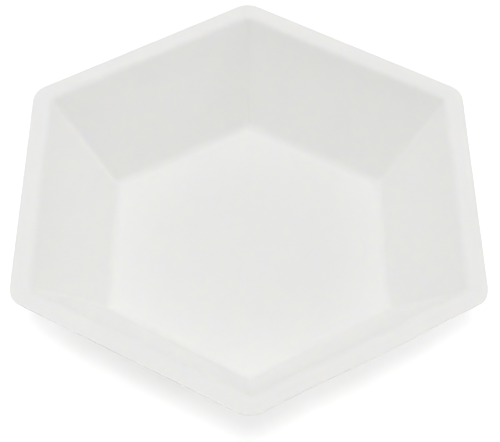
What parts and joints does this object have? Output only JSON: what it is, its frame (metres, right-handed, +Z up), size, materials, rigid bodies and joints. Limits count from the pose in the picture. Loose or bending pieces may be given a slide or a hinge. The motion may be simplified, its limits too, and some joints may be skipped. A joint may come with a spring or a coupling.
{
  "type": "weighing boat",
  "caption": "Shallow hexagonal plastic dish with a flat floor, sloping walls and a flat rim, for holding a sample on a balance.",
  "frame": {"origin": "centre of the underside of the floor", "axes": "+Z up through the bowl's mouth, two opposite corners of the hexagon on the Y axis, two opposite walls facing +X and -X"},
  "size_m": [0.121, 0.1378, 0.026],
  "materials": {
    "white_polystyrene": "satin, slightly translucent white"
  },
  "bodies": {
    "root": {"weighing_boat": "white_polystyrene"}
  },
  "joints": []
}
